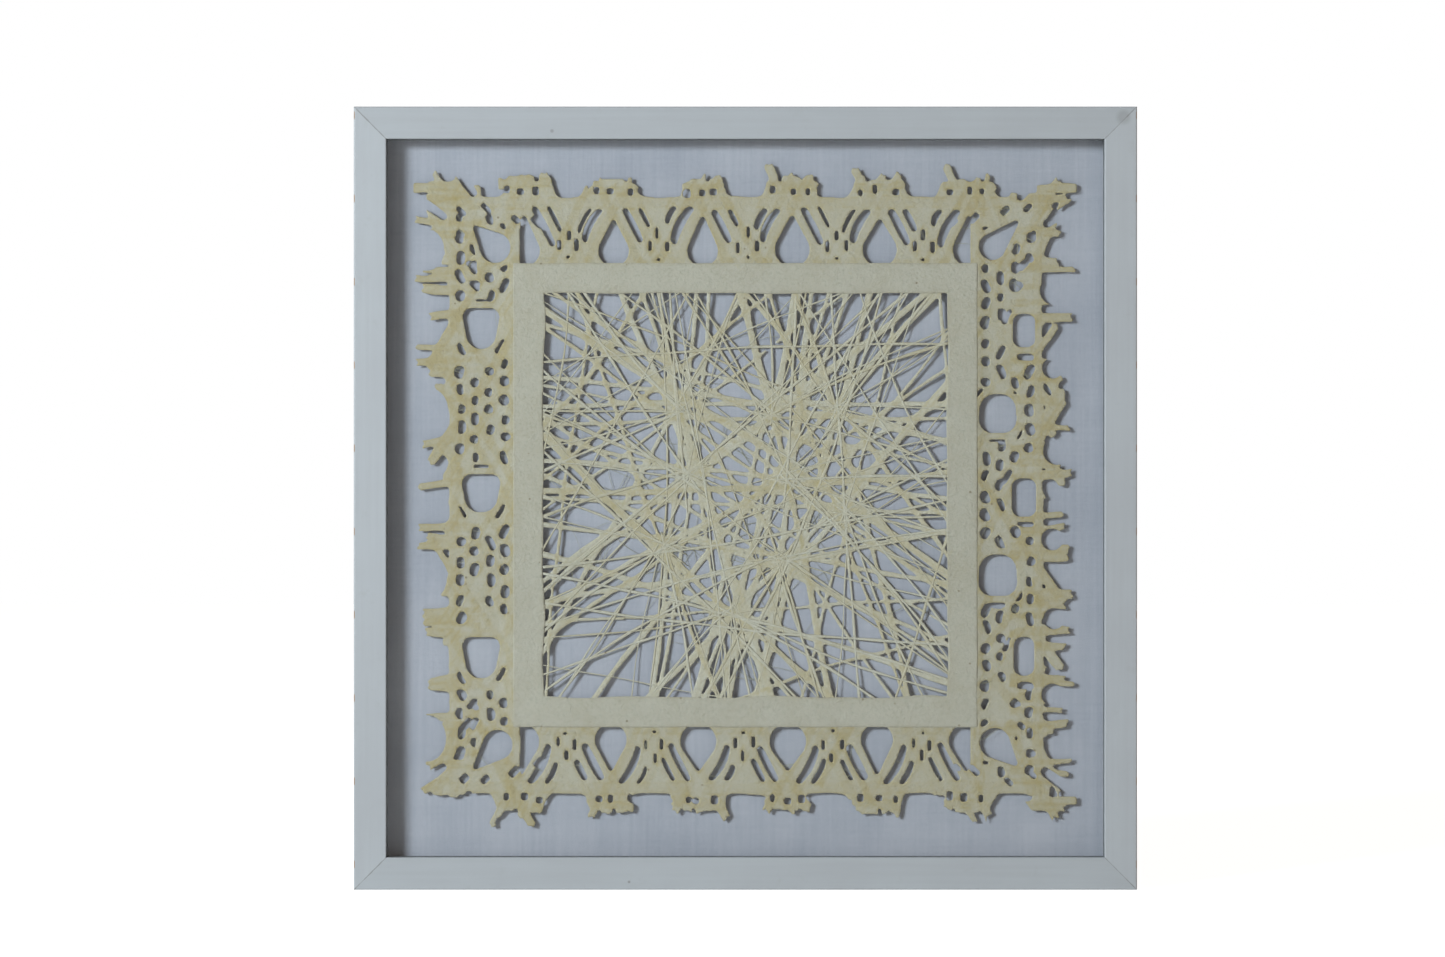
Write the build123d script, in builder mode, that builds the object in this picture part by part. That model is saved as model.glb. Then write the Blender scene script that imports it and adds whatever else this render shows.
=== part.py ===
from build123d import *
import os
from math import asin, cos, radians, sin

os.makedirs("parts", exist_ok=True)

# Millimetres. X runs to the right as the box is looked at, Y into the wall, Z up.
# The origin is the middle of the footprint: half the depth, and the lower edge of the frame.

# frame moulding
frame_width = 800
frame_height = 800
frame_depth = 38
face_width = 33
lip_thickness = 5
lip_overlap = 6
outer_round = 1.6
sight_round = 0.8

# what the rebate holds, from the front
pack_clearance = 1  # all round, between the pack and the rebate
pane_thickness = 2
spacer_depth = 17
spacer_setback = 0.5  # the spacers stay this far behind the sight edge
linen_thickness = 0.6
linen_turn_in = 40
mount_board_thickness = 5
back_board_thickness = 3

# the sheet of paper and what lifts it off the linen
riser_height = 6
riser_width = 18
paper_thickness = 1
band_outer = 476  # the plain square band, across its outer edges
band_width = 31
lace_width = 70  # from the band to the outer edge of the border lace
paper_lift = 3  # the sheet sits a little above the middle of the frame

# border lace above and below: repeats of a drop with slits beside it
drop_pitch = 90
drop_count = 6
drop_radius = 18
drop_height = 47
flank_angle = 64  # the strips cross at this slope
slit_length = 42
slit_width = 7
tip_width = 62
tip_base = 12
tip_reach = 27  # the torn strip ends stand out this far past the lace
scallop_radius = 18

# border lace at the sides: windows in two staggered rows
window_pitch = 168
window_size = 40
window_corner = 14
window_bar = 12  # paper left between a window and the band
tab_count = 14
tab_pitch = 42  # four tabs to each repeat of the windows
tab_length = 28
tab_width = 8

# inner web of straight strands
strand_count = 20
strand_spread = 150  # the farthest a strand passes from the middle
strand_min = 4
strand_max = 10
strand_bite = 6  # length of each strand end that lies in the band

# hardware
v_nail_leg = 6
v_nail_gauge = 0.8
v_nail_depth = 10
v_nail_places = (9, 19)  # along both members, from the outer corner
point_length = 14
point_width = 12
point_gauge = 0.6
point_bite = 6  # length driven into the frame
point_pitch = 240
hanger_length = 45
hanger_width = 16
hanger_thickness = 1.6
hanger_drop = 100  # from the top of the frame to the middle of the plate
entry_radius = 5  # the round end of the keyhole, where a screw head goes in
keyhole_slot = 4.8
keyhole_travel = 11
pocket_depth = 7  # room for the screw head behind the plate
pocket_margin = 1
screw_radius = 1.5
screw_head_radius = 3.1
screw_head_depth = 1.1
screw_length = 14
screw_pitch = 35

# places worked out from the sizes
front_y = -frame_depth / 2
back_y = frame_depth / 2
rebate_edge = face_width - lip_overlap
pack_width = frame_width - 2 * (rebate_edge + pack_clearance)
pack_height = frame_height - 2 * (rebate_edge + pack_clearance)
pane_y = front_y + lip_thickness
spacer_y = pane_y + pane_thickness
linen_y = spacer_y + spacer_depth
board_y = linen_y + linen_thickness
turn_in_y = board_y + mount_board_thickness
back_board_y = turn_in_y + linen_thickness
points_y = back_board_y + back_board_thickness
paper_y = linen_y - riser_height
middle = frame_height / 2
spacer_width = lip_overlap - pack_clearance - spacer_setback

# planes that look out of the front of the box, with X to the right and Z up
pane_plane = Plane(origin=(0, spacer_y, middle), x_dir=(1, 0, 0), z_dir=(0, -1, 0))
ground_plane = Plane(origin=(0, linen_y, middle), x_dir=(1, 0, 0), z_dir=(0, -1, 0))
paper_plane = Plane(
    origin=(0, paper_y, middle + paper_lift), x_dir=(1, 0, 0), z_dir=(0, -1, 0)
)
riser_plane = Plane(
    origin=(0, linen_y, middle + paper_lift), x_dir=(1, 0, 0), z_dir=(0, -1, 0)
)
back_plane = Plane(origin=(0, back_y, 0), x_dir=(1, 0, 0), z_dir=(0, -1, 0))

# Nails that pull each mitre together, driven flush into the back of the joint.
corner_places = [
    Location((-frame_width / 2, 0), 0),
    Location((frame_width / 2, 0), 90),
    Location((frame_width / 2, frame_height), 180),
    Location((-frame_width / 2, frame_height), 270),
]
with BuildPart() as corner_v_nails:
    with BuildSketch(back_plane):
        with Locations(*corner_places):
            with Locations(*[(place, place) for place in v_nail_places]):
                Polygon(
                    (0, 0),
                    (v_nail_leg, 0),
                    (v_nail_leg, v_nail_gauge),
                    (v_nail_gauge, v_nail_gauge),
                    (v_nail_gauge, v_nail_leg),
                    (0, v_nail_leg),
                    align=None,
                )
    extrude(amount=v_nail_depth)
corner_v_nails.part.label = "corner_v_nails"

# Flat points pushed into the wall of the rebate, lying on the back board.
with BuildPart() as framer_points:
    across = pack_width / 2 + pack_clearance + point_bite - point_length / 2
    upright = pack_height / 2 + pack_clearance + point_bite - point_length / 2
    with BuildSketch(Plane.XZ.offset(-points_y - point_gauge)):
        with Locations((-across, middle), (across, middle)):
            with GridLocations(0, point_pitch, 1, 3):
                Rectangle(point_length, point_width)
        with Locations((0, middle - upright), (0, middle + upright)):
            with GridLocations(point_pitch, 0, 3, 1):
                Rectangle(point_width, point_length)
    extrude(amount=point_gauge)
framer_points.part.label = "framer_points"

# Screws and keyhole plates, let into the back of the stiles.
hanger_x = frame_width / 2 - rebate_edge / 2
hanger_z = frame_height - hanger_drop
screw_places = [
    (side * hanger_x, hanger_z + end * screw_pitch / 2)
    for side in (-1, 1)
    for end in (-1, 1)
]
with BuildPart() as hanger_screws:
    for x, z in screw_places:
        axis_plane = Plane(origin=(x, back_y, z), x_dir=(1, 0, 0), z_dir=(0, 0, 1))
        with BuildSketch(axis_plane):
            Polygon(
                (0, 0),
                (screw_head_radius, 0),
                (screw_head_radius, -screw_head_depth),
                (screw_radius, -screw_head_depth),
                (screw_radius, -screw_length),
                (0, -screw_length),
                align=None,
            )
        revolve(axis=Axis((x, back_y, z), (0, 1, 0)))
hanger_screws.part.label = "hanger_screws"

# Two keyhole plates, and the room that each needs in the wood behind it.
hanger_plane = Plane(
    origin=(0, back_y, hanger_z), x_dir=(1, 0, 0), z_dir=(0, -1, 0)
)
with BuildPart() as hanger_plates:
    with BuildSketch(hanger_plane):
        with Locations((-hanger_x, 0), (hanger_x, 0)):
            SlotOverall(hanger_length, hanger_width, rotation=90)
            with Locations((0, -keyhole_travel / 2)):
                Circle(entry_radius, mode=Mode.SUBTRACT)
            SlotCenterToCenter(
                keyhole_travel, keyhole_slot, rotation=90, mode=Mode.SUBTRACT
            )
    extrude(amount=hanger_thickness)
    add(hanger_screws.part, mode=Mode.SUBTRACT)
hanger_plates.part.label = "hanger_plates"

with BuildPart() as pockets:
    with BuildSketch(hanger_plane):
        with Locations((-hanger_x, 0), (hanger_x, 0)):
            SlotOverall(hanger_length, hanger_width, rotation=90)
    extrude(amount=hanger_thickness)
    with BuildSketch(hanger_plane):
        with Locations((-hanger_x, 0), (hanger_x, 0)):
            SlotCenterToCenter(
                keyhole_travel, 2 * (entry_radius + pocket_margin), rotation=90
            )
    extrude(amount=hanger_thickness + pocket_depth)

# The four members: one section, mitred at both ends, with the hardware let in.
members = {
    "frame_top_rail": ((0, front_y, frame_height), (0, 0, -1), frame_width),
    "frame_bottom_rail": ((0, front_y, 0), (0, 0, 1), frame_width),
    "frame_left_stile": ((-frame_width / 2, front_y, middle), (1, 0, 0), frame_height),
    "frame_right_stile": ((frame_width / 2, front_y, middle), (-1, 0, 0), frame_height),
}
frame_members = {}
for name, (edge, inward, length) in members.items():
    inward = Vector(inward)
    lengthwise = inward.cross(Vector(0, 1, 0))
    section_plane = Plane(origin=edge, x_dir=inward, z_dir=lengthwise)
    face_plane = Plane(origin=edge, x_dir=lengthwise, z_dir=(0, 1, 0))
    with BuildPart() as member:
        with BuildSketch(section_plane) as section:
            Polygon(
                (0, 0),
                (face_width, 0),
                (face_width, lip_thickness),
                (rebate_edge, lip_thickness),
                (rebate_edge, frame_depth),
                (0, frame_depth),
                align=None,
            )
            front_corners = section.vertices().group_by(Axis.Y)[0].sort_by(Axis.X)
            fillet(front_corners[-1], sight_round)
            front_corners = section.vertices().group_by(Axis.Y)[0].sort_by(Axis.X)
            fillet(front_corners[0], outer_round)
        extrude(amount=length / 2, both=True)
        with BuildSketch(face_plane):
            Polygon(
                (-length / 2, 0),
                (length / 2, 0),
                (length / 2 - face_width, face_width),
                (-length / 2 + face_width, face_width),
                align=None,
            )
        extrude(amount=frame_depth, mode=Mode.INTERSECT)
        add(corner_v_nails.part, mode=Mode.SUBTRACT)
        add(framer_points.part, mode=Mode.SUBTRACT)
        add(hanger_screws.part, mode=Mode.SUBTRACT)
        add(pockets.part, mode=Mode.SUBTRACT)
    member.part.label = name
    frame_members[name] = member.part

# The pane lies against the back of the lip.
with BuildPart() as glazing_pane:
    with BuildSketch(pane_plane):
        Rectangle(pack_width, pack_height)
    extrude(amount=pane_thickness)
glazing_pane.part.label = "glazing_pane"

# Spacers between the pane and the ground: top and bottom run through, the sides fit between.
spacer_sizes = {
    "spacer_top": (0, pack_height / 2 - spacer_width / 2, pack_width, spacer_width),
    "spacer_bottom": (0, -pack_height / 2 + spacer_width / 2, pack_width, spacer_width),
    "spacer_left": (
        -pack_width / 2 + spacer_width / 2,
        0,
        spacer_width,
        pack_height - 2 * spacer_width,
    ),
    "spacer_right": (
        pack_width / 2 - spacer_width / 2,
        0,
        spacer_width,
        pack_height - 2 * spacer_width,
    ),
}
spacers = {}
for name, (x, y, wide, high) in spacer_sizes.items():
    with BuildPart() as spacer:
        with BuildSketch(ground_plane):
            with Locations((x, y)):
                Rectangle(wide, high)
        extrude(amount=spacer_depth)
    spacer.part.label = name
    spacers[name] = spacer.part

# The ground: a board with linen stretched over its face and edges and turned in behind.
with BuildPart() as mount_board:
    with BuildSketch(ground_plane.offset(-linen_thickness)):
        Rectangle(pack_width - 2 * linen_thickness, pack_height - 2 * linen_thickness)
    extrude(amount=-mount_board_thickness)
mount_board.part.label = "mount_board"

with BuildPart() as linen_cover:
    with BuildSketch(ground_plane):
        Rectangle(pack_width, pack_height)
    extrude(amount=-(mount_board_thickness + 2 * linen_thickness))
    add(mount_board.part, mode=Mode.SUBTRACT)
    with BuildSketch(ground_plane.offset(-(mount_board_thickness + linen_thickness))):
        Rectangle(pack_width - 2 * linen_turn_in, pack_height - 2 * linen_turn_in)
    extrude(amount=-linen_thickness, mode=Mode.SUBTRACT)
linen_cover.part.label = "linen_cover"

with BuildPart() as back_board:
    with BuildSketch(Plane.XZ.offset(-back_board_y - back_board_thickness)):
        with Locations((0, middle)):
            Rectangle(pack_width, pack_height)
    extrude(amount=back_board_thickness)
back_board.part.label = "back_board"

# Strips under the middle of the band, which float the sheet off the linen.
band_middle = band_outer / 2 - band_width / 2
riser_long = 2 * band_middle + riser_width
riser_short = 2 * band_middle - riser_width
riser_sizes = {
    "riser_top": (0, band_middle, riser_long, riser_width),
    "riser_bottom": (0, -band_middle, riser_long, riser_width),
    "riser_left": (-band_middle, 0, riser_width, riser_short),
    "riser_right": (band_middle, 0, riser_width, riser_short),
}
risers = {}
for name, (x, y, wide, high) in riser_sizes.items():
    with BuildPart() as riser:
        with BuildSketch(riser_plane):
            with Locations((x, y)):
                Rectangle(wide, high)
        extrude(amount=riser_height)
    riser.part.label = name
    risers[name] = riser.part

# The web: straight strands that cross the square opening, spread evenly over all headings.
# Steps of the golden ratio give each its own distance from the middle and its own width.
opening = band_outer - 2 * band_width
reach = opening / 2 + strand_bite
golden = (5**0.5 - 1) / 2
with BuildSketch() as web:
    for number in range(strand_count):
        heading = 180 * (number + 0.5) / strand_count
        away = strand_spread * (2 * (golden * number % 1) - 1)
        wide = strand_min + (strand_max - strand_min) * (golden * number * 3 % 1)
        run, rise = cos(radians(heading)), sin(radians(heading))
        foot_x, foot_y = -rise * away, run * away
        toward = 1 if run > 0 else -1
        ahead = min((reach - foot_x * toward) / abs(run), (reach - foot_y) / rise)
        behind = min((reach + foot_x * toward) / abs(run), (reach + foot_y) / rise)
        half = (ahead - behind) / 2
        with Locations(Location((foot_x + run * half, foot_y + rise * half), heading)):
            Rectangle(ahead + behind, wide)

# The drop: a round base standing on the band and a point towards the edge of the sheet.
drop_middle = 0.8 * drop_radius
shoulder = asin(drop_radius / (drop_height - drop_middle))
with BuildSketch() as drop:
    with Locations((0, drop_middle)):
        Circle(drop_radius)
    Polygon(
        (0, drop_height),
        (-drop_radius * cos(shoulder), drop_middle + drop_radius * sin(shoulder)),
        (drop_radius * cos(shoulder), drop_middle + drop_radius * sin(shoulder)),
        align=None,
    )
    Rectangle(
        2 * drop_radius, drop_radius, align=(Align.CENTER, Align.MAX), mode=Mode.SUBTRACT
    )

# A slit between two strips: widest in the middle, closing to both ends.
with BuildSketch() as slit:
    Polygon(
        (-slit_length / 2, 0),
        (-slit_length / 2 + slit_width / 2, -slit_width / 2),
        (slit_length / 2 - slit_width, -slit_width / 2),
        (slit_length / 2, 0),
        (slit_length / 2 - slit_width / 2, slit_width / 2),
        (-slit_length / 2 + slit_width, slit_width / 2),
        align=None,
    )

# Frames of the four sides. In each, x runs along the band and y away from it.
edge_place = Location((0, band_outer / 2))
sides = [Location((0, 0), turn) * edge_place for turn in (0, 90, 180, 270)]
top_side, left_side, bottom_side, right_side = sides
drop_places = [
    side * Location(((number - (drop_count - 1) / 2) * drop_pitch, 0))
    for side in (top_side, bottom_side)
    for number in range(drop_count)
]
between_places = [
    side * Location(((number - (drop_count - 2) / 2) * drop_pitch, 0))
    for side in (top_side, bottom_side)
    for number in range(drop_count - 1)
]
inner_windows = [
    left_side * Location((number * window_pitch, 0)) for number in (-1, 0, 1)
] + [
    right_side * Location(((number - 0.5) * window_pitch, 0)) for number in (0, 1)
]
torn_windows = [
    left_side * Location(((number - 0.5) * window_pitch, 0)) for number in (0, 1)
]
closed_windows = [
    right_side * Location((number * window_pitch, 0)) for number in (-1, 0, 1)
]
corners = [
    Location((0, 0), turn) * Location((band_outer / 2, band_outer / 2))
    for turn in (0, 90, 180, 270)
]
field = band_outer + 2 * lace_width

with BuildPart() as openwork_paper:
    with BuildSketch(paper_plane) as sheet:
        Rectangle(field, field)
        # torn ends of the crossing strips above each drop
        with Locations(*drop_places):
            with Locations((0, lace_width)):
                Trapezoid(tip_width, tip_base, 72, align=(Align.CENTER, Align.MIN))
            with Locations(
                Location((-13, lace_width), 106),
                Location((-3, lace_width), 78),
                Location((13, lace_width), 70),
            ):
                Rectangle(tip_reach, tab_width + 2, align=(Align.MIN, Align.CENTER))
        # scallops between the drops, and holes between the strips
        with Locations(*between_places):
            with Locations((0, lace_width + scallop_radius - 5)):
                Circle(scallop_radius, mode=Mode.SUBTRACT)
            with Locations((0, 31), (-10, 17), (10, 17), (0, 5)):
                Polygon((0, -5), (2.5, 0), (0, 5), (-2.5, 0), mode=Mode.SUBTRACT)
            with Locations((0, 52)):
                RegularPolygon(5, 3, rotation=30, mode=Mode.SUBTRACT)
        with Locations(*drop_places):
            add(drop.sketch, mode=Mode.SUBTRACT)
            with Locations(
                Location((-21, 40), flank_angle),
                Location((21, 40), 180 - flank_angle),
            ):
                add(slit.sketch, mode=Mode.SUBTRACT)
            with Locations(
                Location((-34, 48), flank_angle),
                Location((33, 49), 180 - flank_angle),
            ):
                Polygon((-11, 0), (0, -3), (11, 0), (0, 3), mode=Mode.SUBTRACT)
            with Locations((0, lace_width + 3)):
                RegularPolygon(5, 4, mode=Mode.SUBTRACT)
        with Locations(*inner_windows):
            with Locations((0, window_bar + window_size / 2)):
                RectangleRounded(
                    window_size, window_size, window_corner, mode=Mode.SUBTRACT
                )
        # towards the edge they are closed by one strip on the right and torn open on the left
        with Locations(*closed_windows):
            with Locations((0, lace_width - tab_width)):
                Rectangle(
                    window_size,
                    window_size / 2,
                    align=(Align.CENTER, Align.MAX),
                    mode=Mode.SUBTRACT,
                )
        with Locations(*torn_windows):
            with Locations((0, lace_width)):
                RectangleRounded(
                    window_size, window_size, window_corner, mode=Mode.SUBTRACT
                )
        # tabs cut square at the sides
        with Locations(left_side, right_side):
            with Locations((0, lace_width)):
                with GridLocations(tab_pitch, 0, tab_count, 1):
                    Rectangle(tab_width, 2 * tab_length)
        # rows of small holes where the strips cross, between the windows
        with Locations(*inner_windows):
            with Locations((-50, 20), (-34, 9), (-34, 31), (34, 9), (34, 31), (50, 20)):
                Polygon((0, -6), (7, 0), (0, 6), (-7, 0), mode=Mode.SUBTRACT)
            with Locations((-50, 42), (-34, 53), (34, 53), (50, 42)):
                Polygon((0, -5), (6, 0), (0, 5), (-6, 0), mode=Mode.SUBTRACT)
        with Locations(*corners):
            with Locations((20, 20)):
                RegularPolygon(13, 8, mode=Mode.SUBTRACT)
            with Locations((42, 10), (10, 42), (42, 30), (30, 42), (54, 54)):
                RegularPolygon(7, 4, mode=Mode.SUBTRACT)
        # the square opening, and the strands across it
        Rectangle(opening, opening, mode=Mode.SUBTRACT)
        add(web.sketch)
    extrude(amount=paper_thickness)
openwork_paper.part.label = "openwork_paper"

export_step(corner_v_nails.part, "parts/corner_v_nails.step")
export_step(framer_points.part, "parts/framer_points.step")
export_step(hanger_screws.part, "parts/hanger_screws.step")
export_step(hanger_plates.part, "parts/hanger_plates.step")
export_step(glazing_pane.part, "parts/glazing_pane.step")
export_step(mount_board.part, "parts/mount_board.step")
export_step(linen_cover.part, "parts/linen_cover.step")
export_step(back_board.part, "parts/back_board.step")
export_step(openwork_paper.part, "parts/openwork_paper.step")
for pieces in (frame_members, spacers, risers):
    for name, piece in pieces.items():
        export_step(piece, f"parts/{name}.step")
print("holes in the openwork", len(sheet.sketch.faces()[0].inner_wires()))
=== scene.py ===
from math import atan2, cos, hypot, pi, radians, sin, sqrt, tan
from random import Random

import bpy
import numpy as np
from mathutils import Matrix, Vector


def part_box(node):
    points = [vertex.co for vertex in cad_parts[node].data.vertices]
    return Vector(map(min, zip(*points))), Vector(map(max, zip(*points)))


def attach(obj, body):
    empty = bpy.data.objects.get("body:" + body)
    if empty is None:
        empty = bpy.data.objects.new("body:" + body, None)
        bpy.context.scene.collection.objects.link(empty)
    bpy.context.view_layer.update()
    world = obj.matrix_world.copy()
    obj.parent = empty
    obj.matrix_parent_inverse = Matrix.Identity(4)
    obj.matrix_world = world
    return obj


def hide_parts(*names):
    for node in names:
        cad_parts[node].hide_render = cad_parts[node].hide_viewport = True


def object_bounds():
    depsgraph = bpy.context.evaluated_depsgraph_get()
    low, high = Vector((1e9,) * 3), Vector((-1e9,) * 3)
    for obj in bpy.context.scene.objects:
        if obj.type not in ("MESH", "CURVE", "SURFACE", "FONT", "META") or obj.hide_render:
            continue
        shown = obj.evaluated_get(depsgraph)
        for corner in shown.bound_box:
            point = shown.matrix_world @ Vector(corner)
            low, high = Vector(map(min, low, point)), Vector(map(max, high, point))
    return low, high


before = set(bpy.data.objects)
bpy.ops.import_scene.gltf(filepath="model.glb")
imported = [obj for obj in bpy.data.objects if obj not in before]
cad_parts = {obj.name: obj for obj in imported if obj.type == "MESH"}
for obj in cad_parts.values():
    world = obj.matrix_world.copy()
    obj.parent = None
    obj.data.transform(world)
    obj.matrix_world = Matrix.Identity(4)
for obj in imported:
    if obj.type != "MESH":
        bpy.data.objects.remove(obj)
cadLow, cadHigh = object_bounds()
mm = 0.001
print("frame loaded:", len(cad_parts), "nodes")


# nodes and colours

def hexColour(code):  # sRGB hex to linear
    channels = [int(code[i:i + 2], 16) / 255 for i in (1, 3, 5)]
    return [c / 12.92 if c <= 0.04045 else ((c + 0.055) / 1.055) ** 2.4 for c in channels] + [1]


def perMetre(size):  # texture scale for a feature of that many millimetres
    return 1000 / size


def addNode(material, kind, inputs={}, **settings):
    made = material.node_tree.nodes.new("ShaderNode" + kind)
    for name, value in settings.items():
        setattr(made, name, value)
    for socket, value in inputs.items():
        if isinstance(value, bpy.types.NodeSocket):
            material.node_tree.links.new(value, made.inputs[socket])
        else:
            made.inputs[socket].default_value = value
    return made


def newMaterial(name):
    material = bpy.data.materials.new(name)
    material.use_nodes = True
    material.node_tree.nodes.clear()
    return material


# camera, level with the box and straight on to it

camera = {"place": (-0.0234, -4.019, 0.4201), "lens": 97.6, "sensor": 36}

cameraData = bpy.data.cameras.new("camera")
cameraData.lens = camera["lens"]
cameraData.sensor_width = camera["sensor"]
cameraObject = bpy.data.objects.new("camera", cameraData)
cameraObject.location = camera["place"]
cameraObject.rotation_euler = (radians(90), 0, 0)
bpy.context.scene.collection.objects.link(cameraObject)
bpy.context.scene.camera = cameraObject
bpy.context.scene.view_settings.view_transform = "Standard"


# light: a cool softbox from the upper left, a weak warm one from the front right, warm room light

lamps = {
    "middle": (0, -0.019, 0.4),
    "key": {"toward": (-0.96, -1, 0.39), "distance": 6.0, "size": (1.65, 1.5), "watts": 601,
            "tint": (0.612, 0.665, 0.718), "aim": (8, 0, -10)},  # aimed far over, which evens the light out
    "side": {"toward": (0.58, -1, -0.1), "distance": 3.6, "size": (1.2, 1.5), "watts": 9,
             "tint": (1.0, 0.84, 0.70), "aim": (0, 0, 0)},
    "room": (0.108, 0.085, 0.068),
    "floorGlow": 0.93,
}

for name in ("key", "side"):
    lamp = lamps[name]
    data = bpy.data.lights.new(name, "AREA")
    data.shape = "RECTANGLE"
    data.size, data.size_y = lamp["size"]
    data.energy = lamp["watts"]
    data.color = lamp["tint"]
    lampObject = bpy.data.objects.new(name, data)
    toward = Vector(lamp["toward"]).normalized()
    lampObject.location = Vector(lamps["middle"]) + toward * lamp["distance"]
    aim = Vector(lamp["aim"]) - toward * lamp["distance"]
    lampObject.rotation_euler = aim.to_track_quat("-Z", "Y").to_euler()
    bpy.context.scene.collection.objects.link(lampObject)

world = bpy.data.worlds.new("room")
bpy.context.scene.world = world
world.use_nodes = True
world.node_tree.nodes.clear()
rays = addNode(world, "LightPath")
seen = addNode(world, "Math", {0: rays.outputs["Is Camera Ray"], 1: rays.outputs["Is Glossy Ray"]})
seen = addNode(world, "Math", {0: seen.outputs[0], 1: rays.outputs["Is Transmission Ray"]}, use_clamp=True)
roomLight = addNode(world, "Background", {"Color": list(lamps["room"]) + [1], "Strength": 1})
backdrop = addNode(world, "Background", {"Color": (1, 1, 1, 1), "Strength": 1})
both = addNode(world, "MixShader", {0: seen.outputs[0], 1: roomLight.outputs[0], 2: backdrop.outputs[0]})
addNode(world, "OutputWorld", {"Surface": both.outputs[0]})

floorPaint = newMaterial("whiteStudioFloor")
rays = addNode(floorPaint, "LightPath")
seen = addNode(floorPaint, "Math", {
    0: rays.outputs["Is Camera Ray"], 1: rays.outputs["Is Glossy Ray"]}, use_clamp=True)
glow = addNode(floorPaint, "Math", {0: seen.outputs[0], 1: lamps["floorGlow"]}, operation="MULTIPLY")
matt = addNode(floorPaint, "BsdfDiffuse", {"Color": hexColour("#E9E9E7")})
white = addNode(floorPaint, "Emission", {"Color": (1, 1, 1, 1), "Strength": glow.outputs[0]})
both = addNode(floorPaint, "AddShader", {0: matt.outputs[0], 1: white.outputs[0]})
addNode(floorPaint, "OutputMaterial", {"Surface": both.outputs[0]})
floorMesh = bpy.data.meshes.new("floor")
floorMesh.from_pydata([(-9, -9, 0), (9, -9, 0), (9, 9, 0), (-9, 9, 0)], [], [(0, 1, 2, 3)])
floorMesh.materials.append(floorPaint)
floor = bpy.data.objects.new("floor", floorMesh)
bpy.context.scene.collection.objects.link(floor)
print("camera, lamps and floor made")


# painted mouldings

paint = {
    # painted shade: both rail colours are a little darker than the stiles', for how the light falls over
    # the rails
    "coat": ("#A9AEB0", "#AEB3B5"),  # rails, stiles
    "coatShade": ("#A5A9AB", "#AAAEB0"),
    "grime": "#8D8C86",
    "bareWood": "#8A6E50",
    "crackDirtAndDentShade": "#6E6C66",
    "roughness": 0.5,
    "brushMark": 1.4,  # mm between brush marks
    "mottle": 70,
    "grimePatch": 24,
    "crackWidth": (0.3, 1.1),  # mm each side of the mitre
    "rubPitch": 85,  # mm between the rubbed places on the outer arris
    # x, z, radius and strength of a dent drawn as painted shade, a dot of dirt and a smudge by one mitre
    "spots": [(-197.5, 775, 2.4, 0.5), (-118.8, 8.2, 1.8, 0.6), (386, 789, 9, 0.3)],
}


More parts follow.
